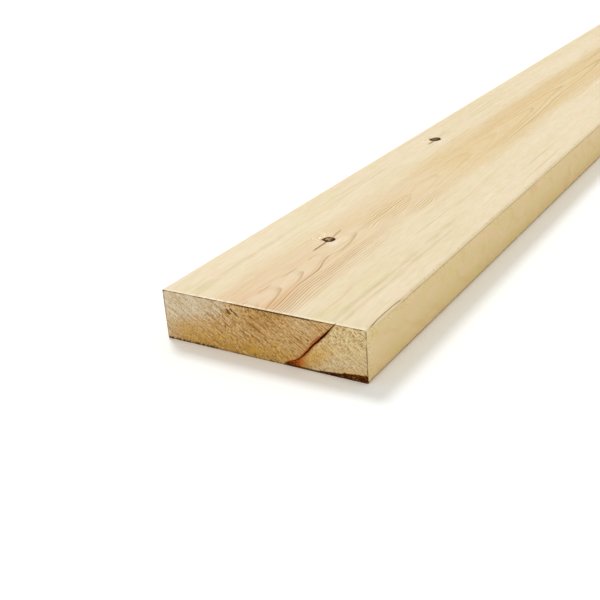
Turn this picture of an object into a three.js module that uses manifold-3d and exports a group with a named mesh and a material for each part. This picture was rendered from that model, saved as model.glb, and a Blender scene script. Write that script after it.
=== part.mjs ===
// A plank of sawn softwood carcassing timber, lying flat.
//
// Millimetres, +Z up. The length runs along Y with the near end at -Y, the width along X and the
// thickness along Z. The origin is at the middle of the underside.
//
// The plank is one sawn piece of wood, so it is one solid: a planed section with eased arrises, run
// the whole length, then marked by what happened to it. Its top right arris was eased unevenly, its
// near end has a drying shake, and the saw tore the bottom edge of that end as it broke through.

import * as THREE from 'three';
import { mergeVertices } from 'three/addons/utils/BufferGeometryUtils.js';
import Module from 'manifold-3d';

// Sawn size of the stock
const plankLength = 2400;
const plankWidth = 200;
const plankThickness = 47;

// Radius of each evenly eased arris, as seen facing the near end
const topLeftEasing = 1;
const bottomLeftEasing = 2;
const bottomRightEasing = 2.5;
const easingFacets = 4;

// The top right arris was eased in long strokes. Each stroke leaves a scallop that is widest in its
// middle, and the strokes repeat in this order from the near end until the plank runs out.
const strokeLengths = [74, 205, 130, 290, 165];
const strokePinchRadius = 1;
const strokeSwellRadius = 3.4;
const strokeSections = 8;

// The drying shake crosses the near end from face to face, leaning over towards its foot. It is a
// wedge-shaped crack: widest above mid-height, and four to five times as deep as it is wide.
const shakeTopInset = 28.5;
const shakeFootInset = 77.5;
const shakeBow = 0.35;
const shakeTightWidth = 0.6;
const shakeWideWidth = 1.7;
const shakeWidestSkew = 1.5;
const shakeDepthPerWidth = 4.5;
const shakeSections = 16;

// The torn edge: a sliver missing along the bottom of the near end, growing towards the right side
const tearLength = 52;
const tearHeight = 5.5;
const tearDepth = 1.3;
const tearSplinter = 0.35;
const tearSections = 13;

// How far the cutting shapes reach past the surfaces that they cut
const overrun = 3;

const halfLength = plankLength / 2;
const halfWidth = plankWidth / 2;
const nearEndY = -halfLength;

// A closed surface through sections that have the same number of corners. Each section's corners run
// anticlockwise as seen from the last section, looking back to the first, and its first corner can see
// all the others, so that the end caps fan out from it.
function loft(sections) {
  const corners = sections[0].length;
  const faces = [];
  for (let row = 0; row < sections.length - 1; row += 1) {
    for (let corner = 0; corner < corners; corner += 1) {
      const here = row * corners + corner;
      const next = row * corners + ((corner + 1) % corners);
      faces.push(here, next, next + corners, here, next + corners, here + corners);
    }
  }
  const last = (sections.length - 1) * corners;
  for (let corner = 1; corner < corners - 1; corner += 1) {
    faces.push(0, corner + 1, corner);
    faces.push(last, last + corner, last + corner + 1);
  }
  const geometry = new THREE.BufferGeometry().setFromPoints(sections.flat());
  geometry.setIndex(faces);
  return geometry;
}

// The plain section, extruded along the length. The top right corner is left sharp, because its
// easing varies along the plank and is cut afterwards.
function sawnStock() {
  const section = new THREE.Shape();
  section.moveTo(halfWidth, plankThickness);
  section.lineTo(topLeftEasing - halfWidth, plankThickness);
  section.absarc(
    topLeftEasing - halfWidth, plankThickness - topLeftEasing, topLeftEasing, Math.PI / 2, Math.PI,
  );
  section.lineTo(-halfWidth, bottomLeftEasing);
  section.absarc(
    bottomLeftEasing - halfWidth, bottomLeftEasing, bottomLeftEasing, Math.PI, 1.5 * Math.PI,
  );
  section.lineTo(halfWidth - bottomRightEasing, 0);
  section.absarc(
    halfWidth - bottomRightEasing, bottomRightEasing, bottomRightEasing, 1.5 * Math.PI, 2 * Math.PI,
  );
  section.closePath();
  const geometry = new THREE.ExtrudeGeometry(section, {
    depth: plankLength,
    bevelEnabled: false,
    curveSegments: easingFacets,
  });
  geometry.rotateX(Math.PI / 2);
  geometry.translate(0, halfLength, 0);
  return geometry;
}

// One section of the waste outside the top right arris: the corner of wood that an easing of this
// radius takes away, reaching past the plank's top and side
function arrisWaste(y, radius) {
  const corners = [
    new THREE.Vector3(halfWidth + overrun, y, plankThickness + overrun),
    new THREE.Vector3(halfWidth + overrun, y, plankThickness - radius),
  ];
  for (let facet = 0; facet <= easingFacets; facet += 1) {
    const angle = (facet / easingFacets) * (Math.PI / 2);
    const x = halfWidth - radius + radius * Math.cos(angle);
    const z = plankThickness - radius + radius * Math.sin(angle);
    corners.push(new THREE.Vector3(x, y, z));
  }
  corners.push(new THREE.Vector3(halfWidth - radius, y, plankThickness + overrun));
  return corners;
}

// The waste of the unevenly eased arris, stroke after stroke from the near end to past the far end
function scallopedArris() {
  const sections = [arrisWaste(nearEndY - overrun, strokePinchRadius)];
  let strokeStart = nearEndY;
  for (let stroke = 0; strokeStart < halfLength + overrun; stroke += 1) {
    const strokeLength = strokeLengths[stroke % strokeLengths.length];
    for (let step = 0; step < strokeSections; step += 1) {
      const along = step / strokeSections;
      const swell = Math.sqrt(Math.sin(Math.PI * along));
      const radius = strokePinchRadius + (strokeSwellRadius - strokePinchRadius) * swell;
      sections.push(arrisWaste(strokeStart + along * strokeLength, radius));
    }
    strokeStart += strokeLength;
  }
  return loft(sections);
}

// Where the shake lies on the near end at a height given as a share of the thickness, from 0 at the
// underside to 1 at the top
function shakePoint(height) {
  const across = height * (1 + shakeBow * (1 - height));
  const footX = halfWidth - shakeFootInset;
  const topX = halfWidth - shakeTopInset;
  return new THREE.Vector2(footX + (topX - footX) * across, height * plankThickness);
}

// The wedge of air in the shake, one triangle for each height: two corners in front of the near end
// and one at the bottom of the crack
function dryingShake() {
  const sections = [];
  const reach = overrun / plankThickness;
  for (let step = 0; step <= shakeSections; step += 1) {
    const height = 1 + reach - (step / shakeSections) * (1 + 2 * reach);
    const inside = THREE.MathUtils.clamp(height, 0, 1);
    const opening = Math.sin(Math.PI * inside ** shakeWidestSkew);
    const width = shakeTightWidth + (shakeWideWidth - shakeTightWidth) * opening;
    const depth = width * shakeDepthPerWidth;
    const mouth = (width / 2) * ((depth + overrun) / depth);
    const middle = shakePoint(height);
    const alongShake = shakePoint(height - reach).sub(shakePoint(height + reach)).normalize();
    const sideways = new THREE.Vector2(-alongShake.y, alongShake.x).multiplyScalar(mouth);
    sections.push([
      new THREE.Vector3(middle.x + sideways.x, nearEndY - overrun, middle.y + sideways.y),
      new THREE.Vector3(middle.x - sideways.x, nearEndY - overrun, middle.y - sideways.y),
      new THREE.Vector3(middle.x, nearEndY + depth, middle.y),
    ]);
  }
  return loft(sections);
}

// The torn sliver, one triangle for each place across the width. The break slopes from the end face
// back to the underside, and steps up and down where the fibres parted.
function tornEdge() {
  const sections = [];
  const slope = tearHeight / tearDepth;
  const tearStartX = halfWidth - tearLength;
  for (let step = 0; step <= tearSections; step += 1) {
    const along = step / tearSections;
    const splinter = step % 2 === 0 ? tearSplinter : -tearSplinter;
    const height = along * (tearHeight + splinter);
    const x = tearStartX + along * (tearLength + overrun);
    sections.push([
      new THREE.Vector3(x, nearEndY - overrun, -overrun),
      new THREE.Vector3(x, nearEndY + height / slope + overrun / slope, -overrun),
      new THREE.Vector3(x, nearEndY - overrun, height + overrun * slope),
    ]);
  }
  return loft(sections);
}

const wasm = await Module();
wasm.setup();

function toSolid(geometry) {
  const bare = geometry.clone();
  bare.deleteAttribute('normal');
  bare.deleteAttribute('uv');
  const merged = mergeVertices(bare);
  return new wasm.Manifold(
    new wasm.Mesh({
      numProp: 3,
      vertProperties: new Float32Array(merged.attributes.position.array),
      triVerts: new Uint32Array(merged.index.array),
    }),
  );
}

function toGeometry(solid) {
  const mesh = solid.getMesh();
  const geometry = new THREE.BufferGeometry();
  geometry.setAttribute('position', new THREE.BufferAttribute(mesh.vertProperties, 3));
  geometry.setIndex(new THREE.BufferAttribute(mesh.triVerts, 1));
  geometry.computeVertexNormals();
  return geometry;
}

function makePlank() {
  const plankSolid = [scallopedArris(), dryingShake(), tornEdge()].reduce(
    (solid, waste) => solid.subtract(toSolid(waste)),
    toSolid(sawnStock()),
  );
  const wood = new THREE.MeshStandardMaterial({ color: 0xe2c79a, roughness: 0.8, metalness: 0 });
  const mesh = new THREE.Mesh(toGeometry(plankSolid), wood);
  mesh.name = 'plank';
  return mesh;
}

const model = new THREE.Group();
model.add(makePlank());

export default model;
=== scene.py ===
import math

import bmesh
import bpy
from mathutils import Matrix, Vector, noise


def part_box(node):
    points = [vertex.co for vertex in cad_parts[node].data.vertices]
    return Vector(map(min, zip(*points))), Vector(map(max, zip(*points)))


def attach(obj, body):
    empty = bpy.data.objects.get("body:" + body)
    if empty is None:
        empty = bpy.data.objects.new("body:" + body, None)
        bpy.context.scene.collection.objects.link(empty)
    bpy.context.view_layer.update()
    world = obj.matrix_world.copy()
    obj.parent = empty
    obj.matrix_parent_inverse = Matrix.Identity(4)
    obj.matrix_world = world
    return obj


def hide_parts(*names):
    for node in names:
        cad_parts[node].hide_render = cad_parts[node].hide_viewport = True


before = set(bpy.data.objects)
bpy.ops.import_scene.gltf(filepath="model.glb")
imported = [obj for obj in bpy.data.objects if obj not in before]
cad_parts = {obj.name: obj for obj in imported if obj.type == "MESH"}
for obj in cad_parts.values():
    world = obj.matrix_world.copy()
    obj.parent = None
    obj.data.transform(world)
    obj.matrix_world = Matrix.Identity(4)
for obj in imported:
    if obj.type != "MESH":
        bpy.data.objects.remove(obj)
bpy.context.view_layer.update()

# The plank: one length of softwood, sawn and regularised to 47 x 200 mm.
# It starts as a plain block cut into small faces, so that the knots, cracks and saw work can be
# shaped into it. Blender makes 100 cuts at most at a time, so they are 5 mm wide but 24 mm long.
MM = 0.001
low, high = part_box("plank")
near_end, far_end = low.y, high.y
face_width, most_cuts = 5 * MM, 100
on_surface = 0.01 * MM
mostly = 0.9

bpy.ops.object.select_all(action="DESELECT")
bpy.ops.mesh.primitive_cube_add(size=1, location=(low + high) / 2, scale=high - low)
plank = bpy.context.object
plank.name = "sawn_plank"
bpy.ops.object.transform_apply(location=True, rotation=False, scale=True)
sawn_face, cut_end, split_wood = 0, 1, 2
for name in ("sawn_softwood", "cut_end_grain", "stained_split_wood"):
    plank.data.materials.append(bpy.data.materials.new(name))


def select_parts(kind, wanted):
    """In edit mode, selects the faces or edges that wanted says yes to, and nothing else."""
    bpy.ops.mesh.select_mode(type=kind)
    bpy.ops.mesh.select_all(action="DESELECT")
    mesh = bmesh.from_edit_mesh(bpy.context.object.data)
    for part in mesh.faces if kind == "FACE" else mesh.edges:
        part.select_set(wanted(part))
    bmesh.update_edit_mesh(bpy.context.object.data)


def lies_along(edge, axis):
    """Whether an edge runs mostly along an axis."""
    start, end = (corner.co for corner in edge.verts)
    return abs(end[axis] - start[axis]) > mostly * (end - start).length


bpy.ops.object.mode_set(mode="EDIT")
for axis in (1, 0, 2):
    select_parts("EDGE", lambda edge: lies_along(edge, axis))
    cuts = round((high - low)[axis] / face_width) - 1
    bpy.ops.mesh.subdivide(number_cuts=min(cuts, most_cuts))
bpy.ops.object.mode_set(mode="OBJECT")

# The arrises: three were eased evenly as the plank was regularised. The right top one was eased by
# hand in long strokes, and each stroke left a scallop that is widest in its middle.
even_easings = {(-1, 1): 1.0 * MM, (-1, -1): 2.0 * MM, (1, -1): 2.5 * MM}
stroke_lengths = [74 * MM, 205 * MM, 130 * MM, 290 * MM, 165 * MM]
stroke_pinch, stroke_swell = 1.0 * MM, 3.4 * MM
end_easing = 0.35 * MM
easing_facets = 3


def stroke_easing(y):
    """How far the right top arris is eased at a place along the plank."""
    along, stroke = max(0, y - near_end), 0
    while along > stroke_lengths[stroke % len(stroke_lengths)]:
        along -= stroke_lengths[stroke % len(stroke_lengths)]
        stroke += 1
    share = along / stroke_lengths[stroke % len(stroke_lengths)]
    swell = math.sqrt(max(0, math.sin(math.pi * share)))
    return stroke_pinch + (stroke_swell - stroke_pinch) * swell


def easing_at(middle, is_long):
    """How far an edge is eased, by where its middle is."""
    on_side = min(middle.x - low.x, high.x - middle.x) < on_surface
    on_face = min(middle.z - low.z, high.z - middle.z) < on_surface
    on_end = min(middle.y - near_end, far_end - middle.y) < on_surface
    if is_long and on_side and on_face:
        corner = (1 if middle.x > 0 else -1, 1 if middle.z > (low.z + high.z) / 2 else -1)
        return even_easings[corner] if corner in even_easings else stroke_easing(middle.y)
    return end_easing if on_end and (on_side or on_face) else 0


easing_share = plank.data.attributes.new("bevel_weight_edge", "FLOAT", "EDGE")
for edge in plank.data.edges:
    start, end = (plank.data.vertices[corner].co for corner in edge.vertices)
    is_long = abs(end.y - start.y) > mostly * (end - start).length
    easing_share.data[edge.index].value = easing_at((start + end) / 2, is_long) / stroke_swell
easing = plank.modifiers.new("easing", "BEVEL")
easing.width = stroke_swell
easing.limit_method = "WEIGHT"
easing.segments = easing_facets
bpy.ops.object.modifier_apply(modifier=easing.name)

# The knots: small branches cut across by the saw, each a dark plug with a ring of its own bark.
# Each is given by its face, its place across and along that face, and its radius. The wood round it
# is cut into finer faces to take its shape. Every reach, place and width is in knot radii.
knots = [
    ("top", -23.2 * MM, 157.5 * MM, 5.9 * MM),
    ("top", -69.2 * MM, 507.0 * MM, 7.0 * MM),
    ("top", 41.0 * MM, 868.0 * MM, 5.2 * MM),
    ("top", -46.0 * MM, 1221.0 * MM, 8.0 * MM),
    ("top", 12.0 * MM, 1574.0 * MM, 4.5 * MM),
    ("top", -71.0 * MM, 1930.0 * MM, 6.0 * MM),
    ("top", 38.0 * MM, 2262.0 * MM, 7.2 * MM),
    ("under", 30.0 * MM, 166.0 * MM, 7.5 * MM),
    ("under", -52.0 * MM, 860.0 * MM, 6.2 * MM),
    ("under", 22.0 * MM, 1228.0 * MM, 8.4 * MM),
    ("under", -18.0 * MM, 1922.0 * MM, 6.8 * MM),
    ("right", 27.0 * MM, 874.0 * MM, 5.0 * MM),
    ("left", 21.0 * MM, 514.0 * MM, 5.6 * MM),
    ("left", 25.0 * MM, 1580.0 * MM, 6.4 * MM),
]
face_axes = {"top": (0, 2, 1), "under": (0, 2, -1), "right": (2, 0, 1), "left": (2, 0, -1)}
wide_reach, close_reach, knot_skin = 3.4, 1.6, 1.2 * MM
ring_place, ring_width, ring_depth = 0.96, 0.11, 0.6 * MM
collar_place, collar_width, collar_rise = 1.35, 0.3, 0.14 * MM
plug_rise = 0.18 * MM
narrower_across, longer_along, unevenness, lobes = 1.05, 0.95, 0.19, 1.6


def knot_centre(knot):
    face, across, along, radius = knot
    sideways, outward, sign = face_axes[face]
    centre = Vector((0, near_end + along, 0))
    centre[sideways] = across
    centre[outward] = (high if sign > 0 else low)[outward]
    return centre


def knot_offset(knot, place):
    """How far a place on the knot's face is from its centre. None if it is on another face."""
    sideways, outward, sign = face_axes[knot[0]]
    offset = place - knot_centre(knot)
    return offset / knot[3] if abs(offset[outward]) < knot_skin else None


def near_knot(place, reach):
    for knot in knots:
        offset = knot_offset(knot, place)
        if offset is not None and offset.length < reach:
            return True
    return False


bpy.ops.object.mode_set(mode="EDIT")
for reach, cuts in ((wide_reach, 3), (close_reach, 1)):
    select_parts("FACE", lambda face: near_knot(face.calc_center_median(), reach))
    bpy.ops.mesh.subdivide(number_cuts=cuts)
bpy.ops.object.mode_set(mode="OBJECT")


def uneven_offset(offset, radius):
    """The offset made longer or shorter by its direction, because a knot isn't quite round, and is
    longest along the grain."""
    angle = math.atan2(offset.y, offset.x + offset.z)
    direction = Vector((lobes * math.cos(angle), lobes * math.sin(angle), radius / MM))
    across, up = offset.x * narrower_across, offset.z * narrower_across
    offset = Vector((across, offset.y * longer_along, up))
    return offset * (1 + unevenness * noise.noise(direction))


def knot_relief(distance):
    """How far the surface stands out at a distance from a knot's centre."""
    groove = -ring_depth * math.exp(-(((distance - ring_place) / ring_width) ** 2))
    plug = plug_rise * max(0, 1 - distance**2)
    collar = collar_rise * math.exp(-(((distance - collar_place) / collar_width) ** 2))
    return groove + plug + collar


for corner in plank.data.vertices:
    for knot in knots:
        offset = knot_offset(knot, corner.co)
        if offset is not None and offset.length < wide_reach:
            outward, sign = face_axes[knot[0]][1:]
            corner.co[outward] += sign * knot_relief(uneven_offset(offset, knot[3]).length)


# The sawn ends: both were cross-cut by a circular saw, which left slanting scratches and a slightly
# furry surface. At the near end the blade broke through the bottom edge and tore a dark, stained
# strip out of it, growing towards the right side.
end_cuts = {near_end: 4, far_end: 2}
scratch_slope = math.radians(-38)
scratch_pitch, scratch_height = 2.3 * MM, 0.09 * MM
scratch_wander, wander_size = 5, 14 * MM
fur_size, fur_height = 1.6 * MM, 0.10 * MM
tear_length, tear_start, tear_rise, tear_depth = 44 * MM, 1.8 * MM, 3.9 * MM, 1.3 * MM
tear_step, tear_step_inset, tear_edge = 0.9 * MM, 23 * MM, 1 * MM
ragged_size, ragged_height, lump_size = 3 * MM, 0.7 * MM, 2.2 * MM

bpy.ops.object.mode_set(mode="EDIT")
for end, cuts in end_cuts.items():
    select_parts("FACE", lambda face: abs(face.calc_center_median().y - end) < on_surface)
    bpy.ops.mesh.subdivide(number_cuts=cuts)
bpy.ops.object.mode_set(mode="OBJECT")


def tear_top(x):
    """The height of the torn strip's upper edge, which is ragged and has a step in it."""
    along = (x - (high.x - tear_length)) / tear_length
    ragged = noise.noise(Vector((x / ragged_size, 0, 7))) * ragged_height
    step = tear_step if x > high.x - tear_step_inset else 0
    return tear_start + tear_rise * along + step + ragged if along > 0 else 0


for face in plank.data.polygons:
    if min(face.center.y - near_end, far_end - face.center.y) < end_easing * 0.6:
        torn = face.center.y < 0 and face.center.z < tear_top(face.center.x)
        face.material_index = split_wood if torn else cut_end

for corner in plank.data.vertices:
    place = corner.co
    end = near_end if place.y < 0 else far_end
    if abs(place.y - end) > on_surface:
        continue
    across_scratch = place.x * math.sin(scratch_slope) - place.z * math.cos(scratch_slope)
    wander = noise.noise(Vector((place.x, 0, place.z)) / wander_size)
    scratch = math.sin(2 * math.pi * across_scratch / scratch_pitch + scratch_wander * wander)
    fur = noise.noise(Vector((place.x, 5 * MM, place.z)) / fur_size)
    inward = 1 if place.y < 0 else -1
    depth = scratch_height * scratch * (0.5 + wander) + fur_height * fur
    if place.y < 0 and place.z < tear_top(place.x):
        lump = noise.noise(Vector((place.x, 0, place.z)) / lump_size)
        below_edge = min(1, (tear_top(place.x) - place.z) / tear_edge)
        depth += tear_depth * (0.65 + 0.5 * lump) * below_edge
    corner.co.y += inward * depth

# The cracks: the wood shrank as it dried. A shake opened right across the near end, and a short
# check runs out along the grain from the near side of each knot that shows on top.
# The shake's path is in mm: how far in from the right side, and how far up.
shake_path = [(77.5, 0), (74, 3.5), (65, 7.5), (60, 12), (49.5, 24), (38.5, 35), (28, 47)]
shake_tight, shake_wide, shake_skew, shake_steepness = 0.6 * MM, 1.7 * MM, 1.5, 4.5
shake_steps, shake_lean_step, shake_tip, shake_zone = 40, 0.02, 0.05 * MM, 20 * MM
path_raggedness, width_raggedness = 0.5 * MM, 0.35
check_steps, check_start, check_drift, check_tip = 16, 0.9, 1.4 * MM, 0.05
first_check_reach, check_reach, check_aside = 5.5, 3.5, 0.22
check_width, check_depth = 0.7 * MM, 1.4 * MM
overrun = 3 * MM


def crack_cutter(name, rows):
    """A solid to cut a crack with. Each row holds the two sides of its mouth and of its bottom."""
    bpy.ops.object.select_all(action="DESELECT")
    bpy.ops.mesh.primitive_cube_add(size=1)
    cutter = bpy.context.object
    cutter.name = name
    bpy.ops.object.mode_set(mode="EDIT")
    select_parts("EDGE", lambda edge: lies_along(edge, 2))
    bpy.ops.mesh.subdivide(number_cuts=len(rows) - 2)
    bpy.ops.object.mode_set(mode="OBJECT")
    for corner in cutter.data.vertices:
        row = rows[round((corner.co.z + 0.5) * (len(rows) - 1))]
        corner.co = row[(2 if corner.co.y > 0 else 0) + (1 if corner.co.x > 0 else 0)]
    bpy.ops.object.mode_set(mode="EDIT")
    bpy.ops.mesh.select_all(action="SELECT")
    bpy.ops.mesh.normals_make_consistent(inside=False)
    bpy.ops.object.mode_set(mode="OBJECT")
    for finish in plank.data.materials:
        cutter.data.materials.append(finish)
    for face in cutter.data.polygons:
        face.material_index = split_wood
    return cutter


def shake_place(height):
    """Where the shake lies on the near end, at a share of the thickness."""
    rise = height * (high.z - low.z) / MM
    for (inset, up), (next_inset, next_up) in zip(shake_path, shake_path[1:]):
        if rise < next_up:
            break
    inset += (next_inset - inset) * (rise - up) / (next_up - up)
    ragged = noise.noise(Vector((height * 9, 0, 3))) * path_raggedness
    return Vector((high.x - inset * MM + ragged, 0, rise * MM))


shake_rows = []
past_face = overrun / high.z
for step in range(shake_steps + 1):
    height = -past_face + step / shake_steps * (1 + 2 * past_face)
    opening = math.sin(math.pi * min(max(height, 0), 1) ** shake_skew)
    ragged = 1 + width_raggedness * noise.noise(Vector((height * 14, 5, 0)))
    half = (shake_tight + (shake_wide - shake_tight) * opening) * ragged / 2
    depth = 2 * half * shake_steepness
    middle = shake_place(height)
    rise = shake_place(height + shake_lean_step) - shake_place(height - shake_lean_step)
    rise.normalize()
    sideways = Vector((rise.z, 0, -rise.x))
    mouth = middle + Vector((0, near_end - overrun, 0))
    bottom = middle + Vector((0, near_end + depth, 0))
    mouth_half, tip = sideways * half * (1 + overrun / depth), sideways * shake_tip
    shake_rows.append([mouth - mouth_half, mouth + mouth_half, bottom - tip, bottom + tip])
cutters = [crack_cutter("shake_cutter", shake_rows)]

for number, knot in enumerate(k for k in knots if k[0] == "top"):
    rows = []
    start, reach = check_start * knot[3], (check_reach if number else first_check_reach) * knot[3]
    for step in range(check_steps + 1):
        share = step / check_steps
        wander = noise.noise(Vector((share * 2.2, number * 3, 0))) * check_drift * share
        aside, nearer = check_aside * knot[3] + wander, start + (reach - start) * share
        middle = knot_centre(knot) + Vector((aside, -nearer, 0))
        closing = (1 - share) ** 0.6 + 0.04
        sideways = Vector((check_width / 2 * closing, 0, 0))
        mouth = middle + Vector((0, 0, overrun))
        bottom = middle + Vector((0, 0, -check_depth * closing))
        mouth_half, tip = sideways * (1 + overrun / check_depth), sideways * check_tip
        rows.append([mouth - mouth_half, mouth + mouth_half, bottom - tip, bottom + tip])
    cutters.append(crack_cutter("check_cutter", rows))

for cutter in cutters:
    bpy.context.view_layer.objects.active = plank
    crack = plank.modifiers.new("crack", "BOOLEAN")
    crack.object = cutter
    crack.solver = "EXACT"
    bpy.ops.object.modifier_apply(modifier=crack.name)
    bpy.data.objects.remove(cutter)

# Cutting the cracks leaves slits and slivers thinner than a hair. The slits are filled, the faces
# with many sides split into triangles, the slivers closed up, and any scrap with a free edge goes.
hair = 0.01 * MM
bpy.ops.object.mode_set(mode="EDIT")
bpy.ops.mesh.select_mode(type="VERT")
bpy.ops.mesh.select_all(action="DESELECT")
bpy.ops.mesh.select_non_manifold()
bpy.ops.mesh.fill_holes(sides=4)
select_parts("FACE", lambda face: len(face.verts) > 4)
bpy.ops.mesh.quads_convert_to_tris()
bpy.ops.mesh.select_all(action="SELECT")
bpy.ops.mesh.remove_doubles(threshold=hair)
bpy.ops.mesh.dissolve_degenerate(threshold=hair)
select_parts("FACE", lambda face: any(edge.is_boundary for edge in face.edges))
bpy.ops.mesh.delete(type="FACE")
bpy.ops.object.mode_set(mode="OBJECT")

bpy.ops.object.select_all(action="DESELECT")
plank.select_set(True)
sharp_edge = math.radians(35)
bpy.ops.object.shade_smooth_by_angle(angle=sharp_edge)

# Each face keeps its corners' places from its nearest knot, in knot radii, for the grain to bend
# round the knot. Where no knot is near, the place is well outside every knot's reach.
knot_reach = 9
no_knot = Vector((0, 0, 2 * knot_reach))
knot_place = plank.data.attributes.new("knot_offset", "FLOAT_VECTOR", "CORNER")
for face in plank.data.polygons:
    nearest = None
    for knot in knots:
        offset = knot_offset(knot, face.center)
        if offset is not None and offset.length < knot_reach:
            nearest = knot
    for loop in face.loop_indices:
        place = plank.data.vertices[plank.data.loops[loop].vertex_index].co
        if nearest:
            outward = face_axes[nearest[0]][1]
            offset = (place - knot_centre(nearest)) / nearest[3]
            offset[outward] = 0
            knot_place.data[loop].vector = uneven_offset(offset, nearest[3])
        else:
            knot_place.data[loop].vector = no_knot

# Every corner also keeps how far the right top arris is eased at its place along the plank, and on
# the near end how far right of the shake it is. Elsewhere that is well to the left.
stroke_place = plank.data.attributes.new("stroke_easing", "FLOAT", "POINT")
shake_side = plank.data.attributes.new("right_of_shake", "FLOAT", "POINT")
for corner in plank.data.vertices:
    place = corner.co
    stroke_place.data[corner.index].value = stroke_easing(place.y)
    at_near = place.y < near_end + shake_zone
    at_shake = place.x - shake_place(place.z / high.z).x if at_near else low.x
    shake_side.data[corner.index].value = at_shake

# How the plank's faces are laid out flat, each in a row of its own, for its finish to be baked. The
# top takes two rows, one for each half of its length. The ends are larger, because their grain is
# finest. Each row gives its start on a square sheet, along and up, and its length and height there.
flat_rows = {
    "top near half": (0.003, 0.004, 0.994, 0.250),
    "top far half": (0.003, 0.262, 0.994, 0.250),
    "under": (0.003, 0.520, 0.994, 0.160),
    "right": (0.003, 0.688, 0.994, 0.085),
    "left": (0.003, 0.781, 0.994, 0.085),
    "near end": (0.003, 0.874, 0.490, 0.122),
    "far end": (0.507, 0.874, 0.490, 0.122),
}


def flat_row(middle, facing, is_split):
    """The row a face belongs to. The sides of the shake go with the near end, and the checks' with
    the top."""
    on_top = "top near half" if middle.y < (near_end + far_end) / 2 else "top far half"
    if is_split:
        return "near end" if middle.y < near_end + shake_zone else on_top
    if abs(facing.y) >= max(abs(facing.x), abs(facing.z)):
        return "near end" if facing.y < 0 else "far end"
    if abs(facing.z) >= abs(facing.x):
        return on_top if facing.z > 0 else "under"
    return "right" if facing.x > 0 else "left"


def flat_place(row, place):
    """Where a place in a row's faces lies on the sheet, seen from outside the plank."""
    across, along, up = ((place - low)[axis] / (high - low)[axis] for axis in range(3))
    start, foot, length, height = flat_rows[row]
    sheet_along, sheet_up = {
        "top near half": (along * 2, 1 - across),
        "top far half": (along * 2 - 1, 1 - across),
        "under": (along, across),
        "right": (along, up),
        "left": (along, 1 - up),
        "near end": (across, up),
        "far end": (across, 1 - up),
    }[row]
    return start + sheet_along * length, foot + sheet_up * height


flat = plank.data.uv_layers.new(name="OFBake")
for face in plank.data.polygons:
    row = flat_row(face.center, face.normal, face.material_index == split_wood)
    for loop in face.loop_indices:
        place = plank.data.vertices[plank.data.loops[loop].vertex_index].co
        flat.data[loop].uv = flat_place(row, place)



class Shade:
    """A value in a finish. Sums written on it become Math nodes, and node() adds any other kind."""

    tree = None

    def __init__(self, socket):
        self.socket = socket

    @classmethod
    def node(cls, kind, sockets=None, output=0, **settings):
        made = cls.tree.nodes.new("ShaderNode" + kind)
        for name, value in settings.items():
            setattr(made, name, value)
        for name, value in (sockets or {}).items():
            if isinstance(value, Shade):
                cls.tree.links.new(value.socket, made.inputs[name])
            else:
                made.inputs[name].default_value = value
        return cls(made.outputs[output]) if made.outputs else None

    def maths(self, operation, *others):
        return Shade.node("Math", dict(enumerate((self, *others))), operation=operation)

    def of(self, output):
        return Shade(self.socket.node.outputs[output])

    def __add__(self, other):
        return self.maths("ADD", other)

    def __sub__(self, other):
        return self.maths("SUBTRACT", other)

    def __mul__(self, other):
        return self.maths("MULTIPLY", other)

    def __truediv__(self, other):
        return self.maths("DIVIDE", other)

    def __pow__(self, other):
        return self.maths("POWER", other)

    def __abs__(self):
        return self.maths("ABSOLUTE")

    def __rsub__(self, other):
        return Shade.node("Math", {0: other, 1: self}, operation="SUBTRACT")

    def __rtruediv__(self, other):
        return Shade.node("Math", {0: other, 1: self}, operation="DIVIDE")

    __radd__ = __add__
    __rmul__ = __mul__


def ramp(value, start, end):
    """0 up to the start, 1 from the end on, and smooth between them. The end may come first."""
    sockets = {"Value": value, "From Min": start, "From Max": end}
    return Shade.node("MapRange", sockets, interpolation_type="SMOOTHSTEP")


def within(value, reach):
    """1 at nought, and smoothly down to 0 at the reach on both sides."""
    return ramp(abs(value), reach, 0)


def vector(x, y, z):
    return Shade.node("CombineXYZ", {0: x, 1: y, 2: z})


def drift(x, y, z, detail=1):
    """Smooth random variation between -1 and 1, mostly within a half."""
    spread = Shade.node("TexNoise", {"Vector": vector(x, y, z), "Scale": 1, "Detail": detail})
    return spread * 2 - 1


def mix(under, over, amount):
    return Shade.node("Mix", {0: amount, 6: under, 7: over}, output=2, data_type="RGBA")


def stain(colour, by, amount):
    """The colour multiplied by another, as a stain that soaks in."""
    sockets = {0: amount, 6: colour, 7: by}
    return Shade.node("Mix", sockets, output=2, data_type="RGBA", blend_type="MULTIPLY")


def start_finish(finish):
    """Starts a finish, and gives the place across the plank, along it and above its underside."""
    finish.use_nodes = True
    finish.node_tree.nodes.clear()
    Shade.tree = finish.node_tree
    place = Shade.node("TexCoord", output="Object")
    apart = Shade.node("SeparateXYZ", {0: place})
    return apart.of("X") / MM, (apart.of("Y") - near_end) / MM, apart.of("Z") / MM


def end_finish(colour, roughness, height, sheen=0.0):
    """Ends a finish. The height is in mm. Open grain has no sheen, and a long face a faint one."""
    bump = Shade.node("Bump", {"Strength": 1, "Distance": MM, "Height": height})
    sockets = {"Base Color": colour, "Roughness": roughness, "Normal": bump}
    wood = Shade.node("BsdfPrincipled", {**sockets, "Specular IOR Level": sheen})
    Shade.node("OutputMaterial", {"Surface": wood})


# The growth rings are counted outwards from the pith, which ran below the plank, a little left of
# its middle. They arch over it, closer together on the left. The trunk tapered away from the near
# end, so on the top face they end in tongues that point to the far end. All lengths are in mm.
half_width, thickness = 100, 47
pith_left, pith_below, arch_height, closer_on_left = 8, 10, 1.25, 0.28
first_ring, ring_spacing = 71, 1.2
taper_length, taper_rings, taper_start = 213, 6.98, 0.51


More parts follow.
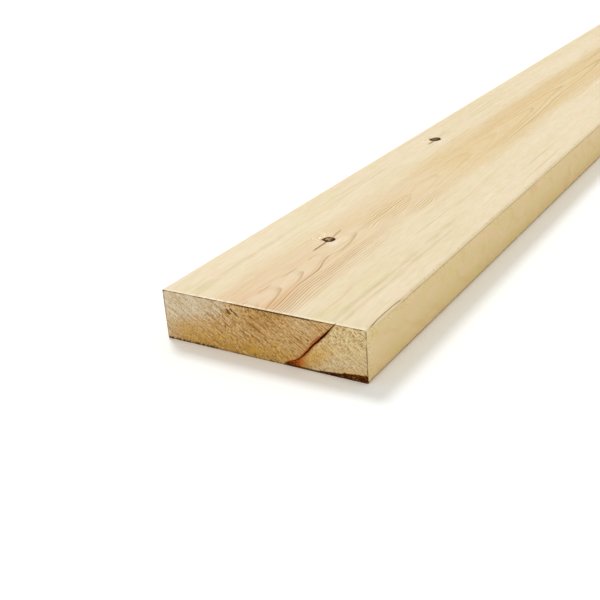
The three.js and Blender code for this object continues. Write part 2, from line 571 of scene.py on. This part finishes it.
def growth(x, along, z):
    """How far a place is from the pith, how steeply the rings cross the face there, their count,
    and the share of it that comes from the taper."""
    steady = ramp(along, 400, 120)
    swing = drift(along / 430, 0, 3) * 6 * (1 - steady)
    aside = x + pith_left - swing
    above = (z + pith_below) * arch_height
    from_pith = ((aside**2) + above**2) ** 0.5
    closer = aside * (1 + aside.maths("LESS_THAN", 0) * closer_on_left)
    taper = (1 + along / taper_length).maths("LOGARITHM", math.e) * taper_rings - taper_start
    waver = drift(x / 30, along / 240, z / 30) * (1 - steady * 0.75) * 0.8
    waver = waver + drift(x / 9, along / 70, z / 9) * 0.16
    rings = (((closer**2) + above**2) ** 0.5 - first_ring) / ring_spacing + taper + waver
    steepness = ramp(abs(aside) + (thickness - z), 3, 26)
    rings = rings + drift(rings * 0.33, 0, 0) * (1 - steady) * 0.5
    return from_pith, steepness, rings, taper


def latewood(rings, steepness):
    """The dark part of each ring: it comes on slowly, stops sharply, and is thin in the tongues."""
    share = rings.maths("FRACT")
    dark = ramp(share, 0.68 - steepness * 0.20, 0.93) * ramp(share, 1.0, 0.96)
    return dark * (0.65 + steepness * 0.35)


def ring_chance(rings, turn):
    """A random number that is the same all through a ring."""
    return Shade.node("TexWhiteNoise", {"W": rings.maths("FLOOR") + turn}, noise_dimensions="1D")


# The long faces: dry, matt softwood, pale sapwood with a tan heart along its middle. A tint soaks
# in as a stain, and the other colours lie over what is there.
sapwood, pale_sapwood = (0.80, 0.675, 0.45, 1), (0.835, 0.725, 0.53, 1)
pink_sapwood, olive_sapwood = (0.86, 0.69, 0.51, 1), (0.78, 0.70, 0.43, 1)
tan_heart, pale_heart = (0.77, 0.605, 0.375, 1), (0.79, 0.65, 0.445, 1)
pink_heart, russet_heart = (0.78, 0.55, 0.36, 1), (0.75, 0.51, 0.29, 1)
cream, far_heart_tint = (0.83, 0.70, 0.50, 1), (0.97, 0.93, 0.80, 1)
tongue_tint, crowded_tint = (0.70, 0.62, 0.51, 1), (0.76, 0.69, 0.56, 1)
late_tint, bold_tint = (0.71, 0.64, 0.55, 1), (0.80, 0.73, 0.60, 1)
wave_tint, wave_light = (0.80, 0.70, 0.54, 1), (0.90, 0.77, 0.53, 1)
grain_tint, streak_tint = (0.87, 0.83, 0.74, 1), (0.86, 0.83, 0.66, 1)
long_streak_tint, near_edge_highlight = (0.84, 0.82, 0.69, 1), (0.95, 0.84, 0.61, 1)
x, along, z = start_finish(plank.data.materials[sawn_face])
offset = Shade.node("Attribute", {}, output="Vector", attribute_name="knot_offset")
apart = Shade.node("SeparateXYZ", {0: offset})
knot_across, knot_along = apart.of("X") + apart.of("Z"), apart.of("Y")
knot_distance = (knot_across**2 + knot_along**2) ** 0.5

# The grain flows round each knot, so the rings there are those of a place further from the plank's
# middle line or nearer to it
flow = ramp(knot_distance, 0.2, 1.0) * ramp(abs(knot_along), 4.2, 0.3)
flow = flow * ramp(abs(knot_across), 3.6, 0.5)
push = flow * 5.2 / (knot_distance + 0.3)
bent_x = x - apart.of("X") * push
on_top = ramp(z, 42, 44)
swollen = ramp(along, 300, 190) * on_top
blunt_x = bent_x + ramp(bent_x, -8, -17) * swollen * 4.2
from_pith, steepness, rings, taper = growth(blunt_x, along, z - apart.of("Z") * push)

# Near this end the trunk was a little swollen. The rings' tongues are blunt on their left. On their
# right the rings crowd against them in a line that swings in and out, and run straight beyond it.
flare = ramp(along, 60, 0)
straight_edge = 6.5 + flare * 6.5
tongue_edge = straight_edge - ramp(along, 85, 120) * 7.5 + ramp(along, 122, 142) * 4
straight = rings - taper + 2.01 - flare * 1.31 + ramp(bent_x - straight_edge, -8, 16) * 2.2
straight = straight - ramp(bent_x, 14, 46) * 1.3
straight = straight + drift(x / 5, along / 18, 6) * ramp(along, 40, 90) * 0.3
straight = straight.maths("MAXIMUM", 4.02)
rings = rings + (straight - rings) * ramp(bent_x - tongue_edge, -6, 0) * swollen

# How bold each ring's dark part is: the first rings there have a strength of their own, which fades
# where the line of the tongues turns, and on their left
bold = 0.45 + ramp(rings, 0, 0.02) * 0.7 - ramp(rings, 2, 2.02) * 0.35 + ramp(rings, 3, 3.02) * 0.4
fainter = 0.75 - ramp(along, 90, 20) * 0.35 - ring_chance(rings, 0.5) * 0.5
bold = bold - ramp(rings, 4, 4.02) * fainter
bold = bold * (1 - within(along - 128, 12) * ramp(bent_x, 12, 6) * 0.6)
bold = bold * (1 - ramp(bent_x, -4.5, -10) * 0.8)
bold = bold * (1 - ramp(bent_x, -8, -12) * ramp(along, 125, 150) * 0.75)
bold = bold * (1 - ramp(bent_x, 8, 2) * ramp(along, 182, 196) * 0.8)
strength = ring_chance(rings, 0.5) * 0.6 + 0.35
late = latewood(rings, steepness) * (strength + (bold - strength) * swollen)
late = late * (1 - ramp(z, 4, 1) * 0.6)
heart = ramp(from_pith + drift(x / 14, along / 90, z / 14) * 3, 84, 73)

# The wood's own colour, in patches and bands that run with the grain
broad = drift(x / 38, along / 170, z / 38)
band = drift(x / 7, along / 150, z / 7)
fibre = drift(x / 0.8, along / 30, z / 0.8, 2)
fine_fibre = drift(x / 0.34, along / 8, z / 0.34)
fleck = drift(x / 2.4, along / 16, z / 2.4)
blush = drift(x / 11, along / 30, z / 11 + 5)
colour = mix(sapwood, pale_sapwood, broad + band * 0.8 + 0.5)
colour = mix(colour, pink_sapwood, ramp(blush, 0.05, 0.5) * 0.55)
colour = mix(colour, olive_sapwood, ramp(blush, -0.05, -0.5) * 0.5)
tan = mix(tan_heart, pale_heart, ring_chance(rings, 7.5) * 0.45 + band + 0.1)
colour = mix(colour, tan, heart * 0.95)
pink_patch = drift(x / 9, along / 60, 0) + 0.5 - ramp(x, -20, -34) * 0.2
colour = mix(colour, pink_heart, heart * ramp(along, 190, 0) * pink_patch * on_top)
colour = mix(colour, russet_heart, within(x - 5, 15) * ramp(along, 90, 5) * on_top * 0.9)
tongue_cream = within(x + 8, 13) * ramp(along, 96, 78) * ramp(along, 2, 10) * on_top
colour = mix(colour, cream, tongue_cream * 0.5)
colour = stain(colour, far_heart_tint, heart * ramp(along, 330, 450) * 0.9)

# The rings' dark parts, and where they crowd together on both sides of the tongues
blunt_line = bent_x + 16.6 - ramp(along, 55, 78) * 1.6 + drift(along / 9, 0, 2) * 0.9
blunt_side = within(blunt_line, 1.5) * swollen
turn = (rings - 0.2).maths("FRACT")
blunt_side = blunt_side * ramp(turn, 0.3, 0.5) * ramp(turn, 0.98, 0.9)
colour = stain(colour, tongue_tint, blunt_side * ramp(along, 128, 104) * 0.7)
crowded = within(bent_x - tongue_edge + 1.3, 1.9) * ramp(along, 45, 80)
crowded = crowded * ramp(along, 128, 118) * swollen
colour = stain(colour, crowded_tint, crowded * 0.7)
fan = within(x - 18, 22) * ramp(along, 260, 90) * on_top
faded = ramp(along, 170, 225) * ramp(along, 620, 440) * 0.68
late_strength = late * (heart * (0.8 - faded) + 0.24 + fan * 0.3)
colour = stain(colour, late_tint, late_strength)
colour = stain(colour, bold_tint, ramp(late_strength, 0.85, 1.35))

# Past the first knot the surface runs almost along the rings, which shows as fine wavy lines
wavy = ((x + drift(along / 26, x / 16, 1) * 3.0) / 3.3).maths("FRACT")
wavy_place = within(x + 6, 19) * within(along - 250, 85)
wavy_place = wavy_place + within(x - 18, 12) * within(along - 290, 60)
wavy_place = ramp(wavy_place, 0, 0.7) * on_top
colour = stain(colour, wave_tint, ramp(wavy, 0.4, 0.85) * ramp(wavy, 1, 0.9) * wavy_place)
colour = mix(colour, wave_light, within(wavy - 0.2, 0.2) * wavy_place * 0.5)

# Fibres, and streaks that run along the grain. The longest streaks on top are each given by the
# place across, the reach to each side, the start and the end.
grain = fibre * 0.8 + fine_fibre * 0.4 + fleck + 0.45
colour = stain(colour, grain_tint, grain * 0.5)
streak = drift(x / 3.2, along / 190, z / 3.2)
colour = stain(colour, streak_tint, ramp(streak, 0.24, 0.55) * 0.8)
top_streaks = [
    (-70, 5, -10, 190),
    (-64.5, 4, -20, 60),
    (67.5, 5.5, -5, 270),
    (75, 3.4, -5, 260),
    (50, 4, 40, 90),
]
for streak_x, streak_width, streak_start, streak_end in top_streaks:
    line = x - streak_x + drift(along / 60, streak_x, 0) * 2.2
    ends = ramp(along, streak_start, streak_start + 25) * ramp(along, streak_end, streak_end - 45)
    here = within(line, streak_width) * ends * on_top
    colour = stain(colour, long_streak_tint, here * (0.55 + drift(along / 28, streak_x, 5) * 0.8))

# A painted highlight along the near end's top edge, broken up like raised fibres
near_edge_highlight_place = ramp(along, 4.5, 1) * on_top * (0.55 + fleck * 1.2)
colour = mix(colour, near_edge_highlight, near_edge_highlight_place)

# The sides are more golden than the faces, most of all low down
gold_side, olive_side = (0.82, 0.625, 0.31, 1), (0.80, 0.66, 0.30, 1)
pink_side, low_tint = (0.88, 0.65, 0.39, 1), (0.985, 0.97, 0.84, 1)
mottle_tint, pale_fleck = (0.93, 0.88, 0.76, 1), (0.90, 0.74, 0.46, 1)
fleck_tint, edge_shade_tint = (0.86, 0.79, 0.62, 1), (0.52, 0.40, 0.22, 1)
side = ramp(abs(x), half_width - 2, half_width - 0.6)
side_mottle = drift((x + along * 0.7 + z) / 14, (along * 0.6 - z) / 34, 0, 2)
colour = mix(colour, gold_side, side * (0.85 + side_mottle * 0.3))
colour = mix(colour, olive_side, side * ramp(blush, -0.02, -0.3) * 0.45)
colour = mix(colour, pink_side, side * ramp(blush, 0.03, 0.3) * 0.5)
colour = stain(colour, low_tint, side * ramp(z + side_mottle * 20, 26, 2))
colour = stain(colour, mottle_tint, side * ramp(side_mottle, 0.03, 0.35) * 0.55)
side_fleck = drift((z + along * 0.7) / 1.9, (z - along * 0.7) / 5, x / 9)
near_edges = ramp(abs(z - 22), 12, 22) * 0.9 + ramp(along, 18, 2)
colour = mix(colour, pale_fleck, side * ramp(side_fleck, 0.05, 0.35) * near_edges * 0.5)
colour = stain(colour, fleck_tint, side * ramp(side_fleck, -0.05, -0.35) * near_edges * 0.6)
# Painted shade along the side's bottom arris, which faces down
colour = stain(colour, edge_shade_tint, ramp(abs(x), 97, 98.5) * ramp(z + fleck * 0.5, 2.7, 1.7) * 0.9)

# Each stroke that eased the right top arris left a thin crease where it meets the top, drawn as a
# line of painted shade with another along the strip's foot, and bared a strip of paler wood,
# brightened further by a painted highlight
eased_wood_and_highlight, near_corner_highlight = (0.86, 0.72, 0.46, 1), (0.97, 0.86, 0.62, 1)
crease_shade_tint = (0.40, 0.29, 0.15, 1)
easing_radius = Shade.node("Attribute", {}, output="Fac", attribute_name="stroke_easing") / MM
stroke_depth = ramp(easing_radius, 1.4, 2.4)
strip_width = easing_radius * 0.75 - 0.6
first_stroke = ramp(along, 68, 58)
across_strip = (x - half_width + strip_width) * ramp(z, 40, 43)
# The eased strip: paler wood with a painted highlight
colour = mix(colour, eased_wood_and_highlight, ramp(across_strip, -0.1, 0.5) * ramp(z, 44.6, 45.4) * 0.9)
# A painted highlight on the fuzzy fibres at the near right corner
near_corner_highlight_place = ramp(along, 9, 1) * ramp(x, 93, 97) * ramp(z, 38, 44) * ramp(side_fleck + fleck, 0.2, -0.3)
colour = mix(colour, near_corner_highlight, near_corner_highlight_place * 0.9)
# Painted shade along the foot of each stroke
stroke_foot_shade = ramp(x, 97.6, 98.6) * within(z - 44.6 + fleck * 0.5, 0.8)
stroke_foot_shade = stroke_foot_shade * stroke_depth * (1 - first_stroke)
colour = stain(colour, edge_shade_tint, stroke_foot_shade * (0.55 + ramp(along, 110, 70) * 0.4))
# Painted shade along the crease at the top of each stroke
broken = first_stroke + ramp(drift(along / 5, 0, 7), 0.05, 0.3) * (1 - first_stroke) * 0.5
stroke_top_shade = within(across_strip + fleck * 0.3, 0.8) * ramp(z, 44, 45.5) * stroke_depth * broken
colour = stain(colour, crease_shade_tint, stroke_top_shade * 0.95)

# Round a knot the wood is bleached and speckled. The plug is dark with paler patches, and ringed
# with black bark. All places here are in knot radii.
bleached, bleached_side = (0.86, 0.71, 0.50, 1), (0.86, 0.72, 0.57, 1)
pale_speck, speck_tint = (0.97, 0.84, 0.60, 1), (0.66, 0.50, 0.33, 1)
near_resin, far_resin = (0.30, 0.17, 0.06, 1), (0.46, 0.33, 0.14, 1)
collar_brown, plug_dark = (0.58, 0.35, 0.13, 1), (0.09, 0.03, 0.006, 1)
plug_light, plug_ring_tint = (0.66, 0.43, 0.22, 1), (0.5, 0.38, 0.3, 1)
bark = (0.020, 0.004, 0.0005, 1)
speckle = drift(x / 1.5, along / 2.1, z / 1.5)
halo = ramp(knot_distance + band * 1.4 + blush * 2.4 + fleck, 2.9, 1.3)
colour = mix(colour, bleached, halo * 0.35)
pale_side = within(knot_across - 1.5, 1.1) * within(knot_along + 1.0, 2.2)
colour = mix(colour, bleached_side, pale_side * 0.7)
speckled = within(knot_across + 1.75, 1.5) * within(knot_along - 0.2, 3.2) + halo * 0.35
colour = mix(colour, pale_speck, speckled * ramp(speckle, -0.05, -0.28) * 0.95)
colour = stain(colour, speck_tint, speckled * ramp(speckle, 0.05, 0.32) * 0.7)
check_wander = knot_across + drift(knot_along * 0.9, 0, 9) * 0.15
first_knot = ramp(along, 400, 250)
check_end = ramp(knot_along + 3.9 + first_knot * 2.0, 0, 1.5) * ramp(knot_along, -0.7, -1.0)
near_check = within(check_wander - check_aside, 0.54 - first_knot * 0.2)
near_check = near_check * check_end * (0.65 + first_knot * 0.25)
far_end_of_check = ramp(knot_along, 4.9, 3.8) * ramp(knot_along, 0.8, 1.1)
far_check = within(check_wander + knot_along * 0.11 - 0.25, 0.36)
far_check = far_check * far_end_of_check * (0.3 + first_knot * 0.6)
colour = mix(colour, near_resin, near_check)
colour = mix(colour, far_resin, far_check)
colour = mix(colour, collar_brown, ramp(knot_distance + speckle * 0.15, 1.34, 1.06) * 0.75)
plug_patch = drift(knot_across * 1.5 + 3, knot_along * 1.5, 4, 2)
plug_rings = (knot_distance * 6 + plug_patch * 2).maths("FRACT")
plug_pale = ramp(plug_patch, -0.14, 0.16) * (0.25 + first_knot * 0.75)
plug_colour = mix(plug_dark, plug_light, plug_pale)
plug_colour = stain(plug_colour, plug_ring_tint, ramp(plug_rings, 0.4, 0.9) * 0.5)
colour = mix(colour, plug_colour, ramp(knot_distance, 1.0, 0.9))
bark_ring = ramp(knot_distance + plug_patch * 0.4, 0.52, 0.66)
bark_ring = bark_ring * ramp(knot_distance + speckle * 0.1, 1.1, 1.0)
colour = mix(colour, bark, bark_ring * 0.98)

roughness = 0.70 - late * 0.10 + fibre * 0.05
plug_bumps = plug_patch * ramp(knot_distance, 1, 0.8)
height = late * 0.05 + fibre * 0.035 + fine_fibre * 0.02 + broad * 0.05 + plug_bumps * 0.2
end_finish(colour, roughness, height, sheen=0.12)

# The cut ends: the same rings cut across, furred and scored by the saw. Sapwood is cream, and the
# heart tan. Low down the end is darker and more golden, as painted shade near the floor.
end_sapwood, end_deep_sapwood = (0.88, 0.77, 0.575, 1), (0.80, 0.655, 0.42, 1)
end_heart, shaded_low_gold = (0.77, 0.49, 0.195, 1), (0.775, 0.47, 0.105, 1)
shaded_low_brown, top_brown = (0.62, 0.34, 0.09, 1), (0.65, 0.375, 0.11, 1)
right_upper, right_lower = (0.91, 0.735, 0.40, 1), (0.87, 0.70, 0.42, 1)
x, along, z = start_finish(plank.data.materials[cut_end])
from_pith, _, rings, _ = growth(x, along, z)
late = latewood(rings, 1)
at_near = ramp(along, 1300, 1100)
saw_slope = math.radians(33)
across_saw = x * math.sin(saw_slope) + z * math.cos(saw_slope) + drift(x / 40, 0, z / 40) * 3
along_saw = x * math.cos(saw_slope) - z * math.sin(saw_slope)
saw_band = drift(across_saw / 3.4, 0, along_saw / 34, 2)
saw_mark = drift(across_saw / 0.8, 4, along_saw / 5)
saw_score = drift(across_saw / 1.3, 9, along_saw / 34)
crossed = drift((x + z) / 1.05, 8, (x - z) / 5.5) + drift((x - z) / 1.05, 5, (x + z) / 4.5)
fur = drift(x / 1.15, 0, z / 1.15)
patch = drift(x / 11, 2, z / 11, 2)
right_of_shake = Shade.node("Attribute", {}, output="Fac", attribute_name="right_of_shake") / MM
beyond = ramp(right_of_shake, -2, 3)
heart = ramp(from_pith + patch * 14 + saw_band * 12 - ramp(x, 0, 50) * 26, 108, 76)
pale_corner = (((x + 90) / 60) ** 2 + ((z - thickness) / 25) ** 2) ** 0.5
heart = heart * (1 - ramp(pale_corner + patch * 0.5 + saw_band * 0.3, 1.25, 0.75) * 0.9)
# Painted shade: darker and more golden towards the floor
low_end_shade = ramp(z + patch * 16 + saw_band * 10, 23, 6)
colour = mix(end_sapwood, end_deep_sapwood, patch + saw_band * 1.7 + 0.5)
colour = mix(colour, end_heart, heart * 0.95)
low_end_shade_colour = mix(shaded_low_gold, shaded_low_brown, ramp(saw_band + patch * 0.5, -0.2, 0.3))
colour = mix(colour, low_end_shade_colour, low_end_shade * ramp(x + patch * 20, -98, -66) * 0.82)
colour = mix(colour, top_brown, within(x + 4, 48) * ramp(z + saw_band * 10, 28, 42) * heart * 0.8)
colour = mix(colour, mix(right_upper, right_lower, ramp(z + patch * 10, 26, 12)), beyond * 0.85)

# Saw marks, deepest left of the shake and softer on the sapwood, and finer furring right of it
mark_tint, score_tint = (0.46, 0.32, 0.15, 1), (0.62, 0.48, 0.30, 1)
band_tint, fur_tint, lit_fur = (0.74, 0.62, 0.46, 1), (0.54, 0.41, 0.22, 1), (0.97, 0.79, 0.45, 1)
end_late_tint, nick_shade = (0.80, 0.70, 0.54, 1), (0.13, 0.06, 0.014, 1)
low_middle_gold, shake_pale = (0.70, 0.405, 0.07, 1), (0.86, 0.70, 0.45, 1)
quiet = 1 - ramp(x + patch * 20, -30, -75) * 0.5 - ramp(pale_corner, 1.2, 0.6) * 0.2
colour = stain(colour, mark_tint, ramp(saw_mark, 0.0, 0.4) * quiet * (0.85 - beyond * 0.55))
score_strength = (0.5 + ramp(z + patch * 20, 4, 30) * 0.5) * (1 + patch * 0.8)
score_strength = score_strength * (0.4 + quiet * 0.6) * (1 - ramp(pale_corner, 1.2, 0.6) * 0.3)
score_strength = score_strength * (1 - beyond * 0.6) + beyond * ramp(z, 26, 8) * 0.6
scored = ramp(saw_score, 0.03, 0.4) * score_strength
colour = stain(colour, score_tint, scored)
colour = stain(colour, band_tint, ramp(saw_band, 0.0, 0.4) * quiet * 0.5)
colour = stain(colour, fur_tint, ramp(fur, 0.0, 0.34) * quiet * 0.3)
mesh = ramp(crossed, 0.02, 0.42) * (0.6 + beyond * ramp(z, 20, 34) * 0.4)
colour = stain(colour, mark_tint, mesh)
paler = ramp(fur * 0.8 + saw_mark * 0.7 + crossed * 0.6 + saw_score * 0.7, -0.05, -0.6)
colour = mix(colour, lit_fur, paler * quiet * (0.62 + beyond * 0.35))
colour = stain(colour, end_late_tint, late * 0.3)

# Three short, deep nicks slant across the end, drawn as painted shade: each one's place across and
# up, and half its length
for nick_x, nick_z, nick_reach in ((-30.6, 38.7, 4.6), (-23.4, 37.6, 3.4), (-27.5, 40.8, 2.6)):
    down_nick = (x - nick_x) * 0.7 - (z - nick_z) * 0.7
    beside_nick = (x - nick_x) * 0.7 + (z - nick_z) * 0.7
    nick_shade_place = within(beside_nick + fur * 0.7, 1.3) * within(down_nick, nick_reach) * at_near
    colour = mix(colour, nick_shade, ramp(nick_shade_place, 0.05, 0.35) * 0.9)
# A golden patch low in the middle of the end
blob = within(x + 13, 36) * within(z - 8, 8) * ramp(patch + saw_band * 0.6, -0.1, 0.25) * at_near
colour = mix(colour, low_middle_gold, blob * 0.9)
paler_by_shake = within(x - 42, 17) * ramp(z + saw_band * 10, 26, 38) * (1 - beyond)
colour = mix(colour, shake_pale, paler_by_shake * 0.18)

# Resin and rust-red stain soaked into the wood along the shake, most of all at its foot
lip_brown, margin_red = (0.22, 0.055, 0.004, 1), (0.62, 0.23, 0.07, 1)
fringe_red, warm_tint = (0.42, 0.10, 0.02, 1), (0.96, 0.79, 0.48, 1)
dark_rust, orange_rust = (0.20, 0.018, 0.001, 1), (0.64, 0.165, 0.018, 1)
rust_tint, tear_gold = (0.40, 0.24, 0.15, 1), (0.85, 0.56, 0.21, 1)
tear_black = (0.055, 0.016, 0.003, 1)
lip = ramp(abs(right_of_shake + fur * 1.1), 2.8, 1.2) * ramp(z, thickness, 36)
colour = mix(colour, lip_brown, lip * 0.92)
margin = ramp(right_of_shake, -8, -1) * ramp(right_of_shake, 5.5, 0.5) * ramp(z + fur * 6, 40, 24)
colour = mix(colour, margin_red, margin * (0.42 + fur * 1.2))
fringe = within(right_of_shake + 2.4 + fur * 2, 2.6) * within(z - 29, 8)
colour = mix(colour, fringe_red, ramp(fringe, 0.1, 0.6) * 0.8)
warm = ramp(right_of_shake, 30, 12) * beyond * ramp(z + fur * 5, 34, 12)
colour = stain(colour, warm_tint, warm)
foot = ramp(right_of_shake + fur * 3, -3, -0.2) * ramp(x + fur * 9 + crossed * 7, 46, 35)
foot = foot * ramp(z + fur * 4, 15, 9)
rust = mix(dark_rust, orange_rust, ramp(x + fur * 12 + crossed * 9, 28, 39))
colour = mix(colour, rust, foot * 0.97)
colour = stain(colour, rust_tint, foot * ramp(saw_score + crossed * 0.5, 0.0, 0.35) * 0.85)
torn_from, torn_slope, torn_start = 56, 0.089, 1.8
step_from, step_to, step_rise = 76.4, 77.6, 0.9
above_tear = z - (x - torn_from) * torn_slope - ramp(x, step_from, step_to) * step_rise - torn_start
colour = mix(colour, tear_gold, ramp(above_tear, 6, 1) * ramp(x, 62, 84) * (0.6 + fur) * at_near)
tear_line = ramp(above_tear + fur * 1.6, 0.7, 0.3) * ramp(x, 52, 57)
colour = mix(colour, tear_black, tear_line * at_near * 0.95)

# Painted shade along the end's sharp saw-cut edges, with painted shadow lines under its top edge
# and along its foot, thickest right of the shake
rim_shade_colour, edge_shadow_colour = (0.17, 0.09, 0.022, 1), (0.09, 0.035, 0.008, 1)
rim = (half_width - abs(x)).maths("MINIMUM", z.maths("MINIMUM", thickness - z))
rim_shade = ramp(rim + drift(x / 2, 0, z / 2) * 0.8, 1.5, 0.6) * (0.7 + drift(x / 6, 3, z / 6) * 1.1)
colour = mix(colour, rim_shade_colour, rim_shade * (0.9 - beyond * 0.2))
left_foot_shadow = ramp(drift(x / 2.6, 6, 0), -0.12, 0.05) * ramp(x, -40, -48) * ramp(z + fur * 0.8, 2.8, 1.9)
top_edge_shade = ramp(z + fur * 0.8, 45.2, 45.9) * ramp(x, -28, -20) * ramp(x, 54, 46)
right_foot_shadow = ramp(z + fur * 1.2, 2.4, 1.5) * ramp(x, 20, 26) * ramp(x, 60, 56)
colour = mix(colour, edge_shadow_colour, (left_foot_shadow + top_edge_shade * 0.85 + right_foot_shadow) * at_near * 0.9)

roughness = 0.86 + fur * 0.06
height = saw_mark * 0.14 + saw_score * 0.10 + fur * 0.16 + late * 0.04
end_finish(colour, roughness, height)

# Inside the shake and along the torn edge the wood is dark with old resin and bark. Near the
# shake's mouth the walls are lightened orange, as painted light against the crack's deep shade.
split_dark, split_brown = (0.07, 0.013, 0.002, 1), (0.20, 0.07, 0.012, 1)
shake_mouth_light, crumb_brown = (0.80, 0.28, 0.05, 1), (0.36, 0.21, 0.08, 1)
x, along, z = start_finish(plank.data.materials[split_wood])
splinter = drift(x / 1.6, along / 2.5, z / 1.1, 2)
crumb = drift(x / 0.7, along / 0.7, z / 0.7)
colour = mix(split_dark, split_brown, ramp(splinter, -0.15, 0.35))
# Painted light near the shake's mouth
lit_shake_mouth = ramp(along, 10, 1) * (1 - ramp(x, 40, 46) * ramp(z, 9, 7))
colour = mix(colour, shake_mouth_light, lit_shake_mouth * ramp(splinter, -0.3, 0.1) * 0.95)
colour = mix(colour, crumb_brown, ramp(crumb + splinter * 0.6, 0.28, 0.5) * ramp(x, 44, 50))
end_finish(colour, 0.8 + crumb * 0.08, splinter * 0.25 + crumb * 0.15)

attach(plank, "root")
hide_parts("plank")

# The floor: a plain pale sheet under the plank. The camera sees it white, with the plank's shadow.


def watched_rays():
    """1 for what the camera sees, straight or in a gloss, and 0 for what only lights the plank."""
    kinds = ("Camera", "Glossy", "Transmission")
    rays = [Shade.node("LightPath", output=f"Is {kind} Ray") for kind in kinds]
    return (rays[0] + rays[1] + rays[2]).maths("MINIMUM", 1)


floor_size, floor_paint = 60, (0.9, 0.9, 0.9, 1)
floor_glow, floor_shade = (0.10, 0.06, 0.02, 1), (0.89, 0.94, 0.96, 1)
bpy.ops.mesh.primitive_plane_add(size=floor_size, location=(0, 0, low.z))
floor = bpy.context.object
floor.name = "floor"
floor_finish = bpy.data.materials.new("pale_floor")
floor.data.materials.append(floor_finish)
floor_finish.use_nodes = True
floor_finish.node_tree.nodes.clear()
Shade.tree = floor_finish.node_tree
glow = Shade.node("Emission", {"Color": floor_glow, "Strength": 1})
seen = Shade.node("AddShader", {0: Shade.node("BsdfDiffuse", {"Color": floor_shade}), 1: glow})
paint = Shade.node("BsdfDiffuse", {"Color": floor_paint})
sheet = Shade.node("MixShader", {0: watched_rays(), 1: paint, 2: seen})
Shade.node("OutputMaterial", {"Surface": sheet})

# The camera: a normal lens above the plank's near right corner, tilted a little
camera_place = Vector((418.9 * MM, -1780.1 * MM, 379.6 * MM))
camera_azimuth, camera_elevation, camera_roll = (math.radians(a) for a in (33.04, 24.615, -4.245))
focal_pixels, frame_pixels, sensor_width = 965.6, 600, 36
bpy.ops.object.camera_add(location=camera_place)
camera = bpy.context.object
camera.matrix_world = (
    Matrix.Translation(camera_place)
    @ Matrix.Rotation(camera_azimuth, 4, "Z")
    @ Matrix.Rotation(math.pi / 2 - camera_elevation, 4, "X")
    @ Matrix.Rotation(camera_roll, 4, "Z")
)
camera.data.sensor_width = sensor_width
camera.data.lens = focal_pixels / frame_pixels * sensor_width
camera.data.clip_start = 0.01
bpy.context.scene.camera = camera

# The light: a bright even sky all round, which the camera sees as plain white, and one wide soft
# lamp from behind the plank's left side
sky_level, lamp_level, lamp_spread = 0.72, 1.44, math.radians(16)
lamp_aim = Vector((0.56, -0.46, -1.0))
world = bpy.context.scene.world or bpy.data.worlds.new("sky")
bpy.context.scene.world = world
world.use_nodes = True
sky = world.node_tree.nodes["Background"]
sky.inputs["Color"].default_value = (1, 1, 1, 1)
Shade.tree = world.node_tree
sky_strength = sky_level + watched_rays() * (1 - sky_level)
Shade.tree.links.new(sky_strength.socket, sky.inputs["Strength"])
bpy.ops.object.light_add(type="SUN", location=(-1, 0.2, 1.2))
lamp = bpy.context.object
lamp.data.angle = lamp_spread
lamp.data.energy = lamp_level
lamp.rotation_euler = lamp_aim.to_track_quat("-Z", "Y").to_euler()

bpy.context.scene.view_settings.view_transform = "Standard"
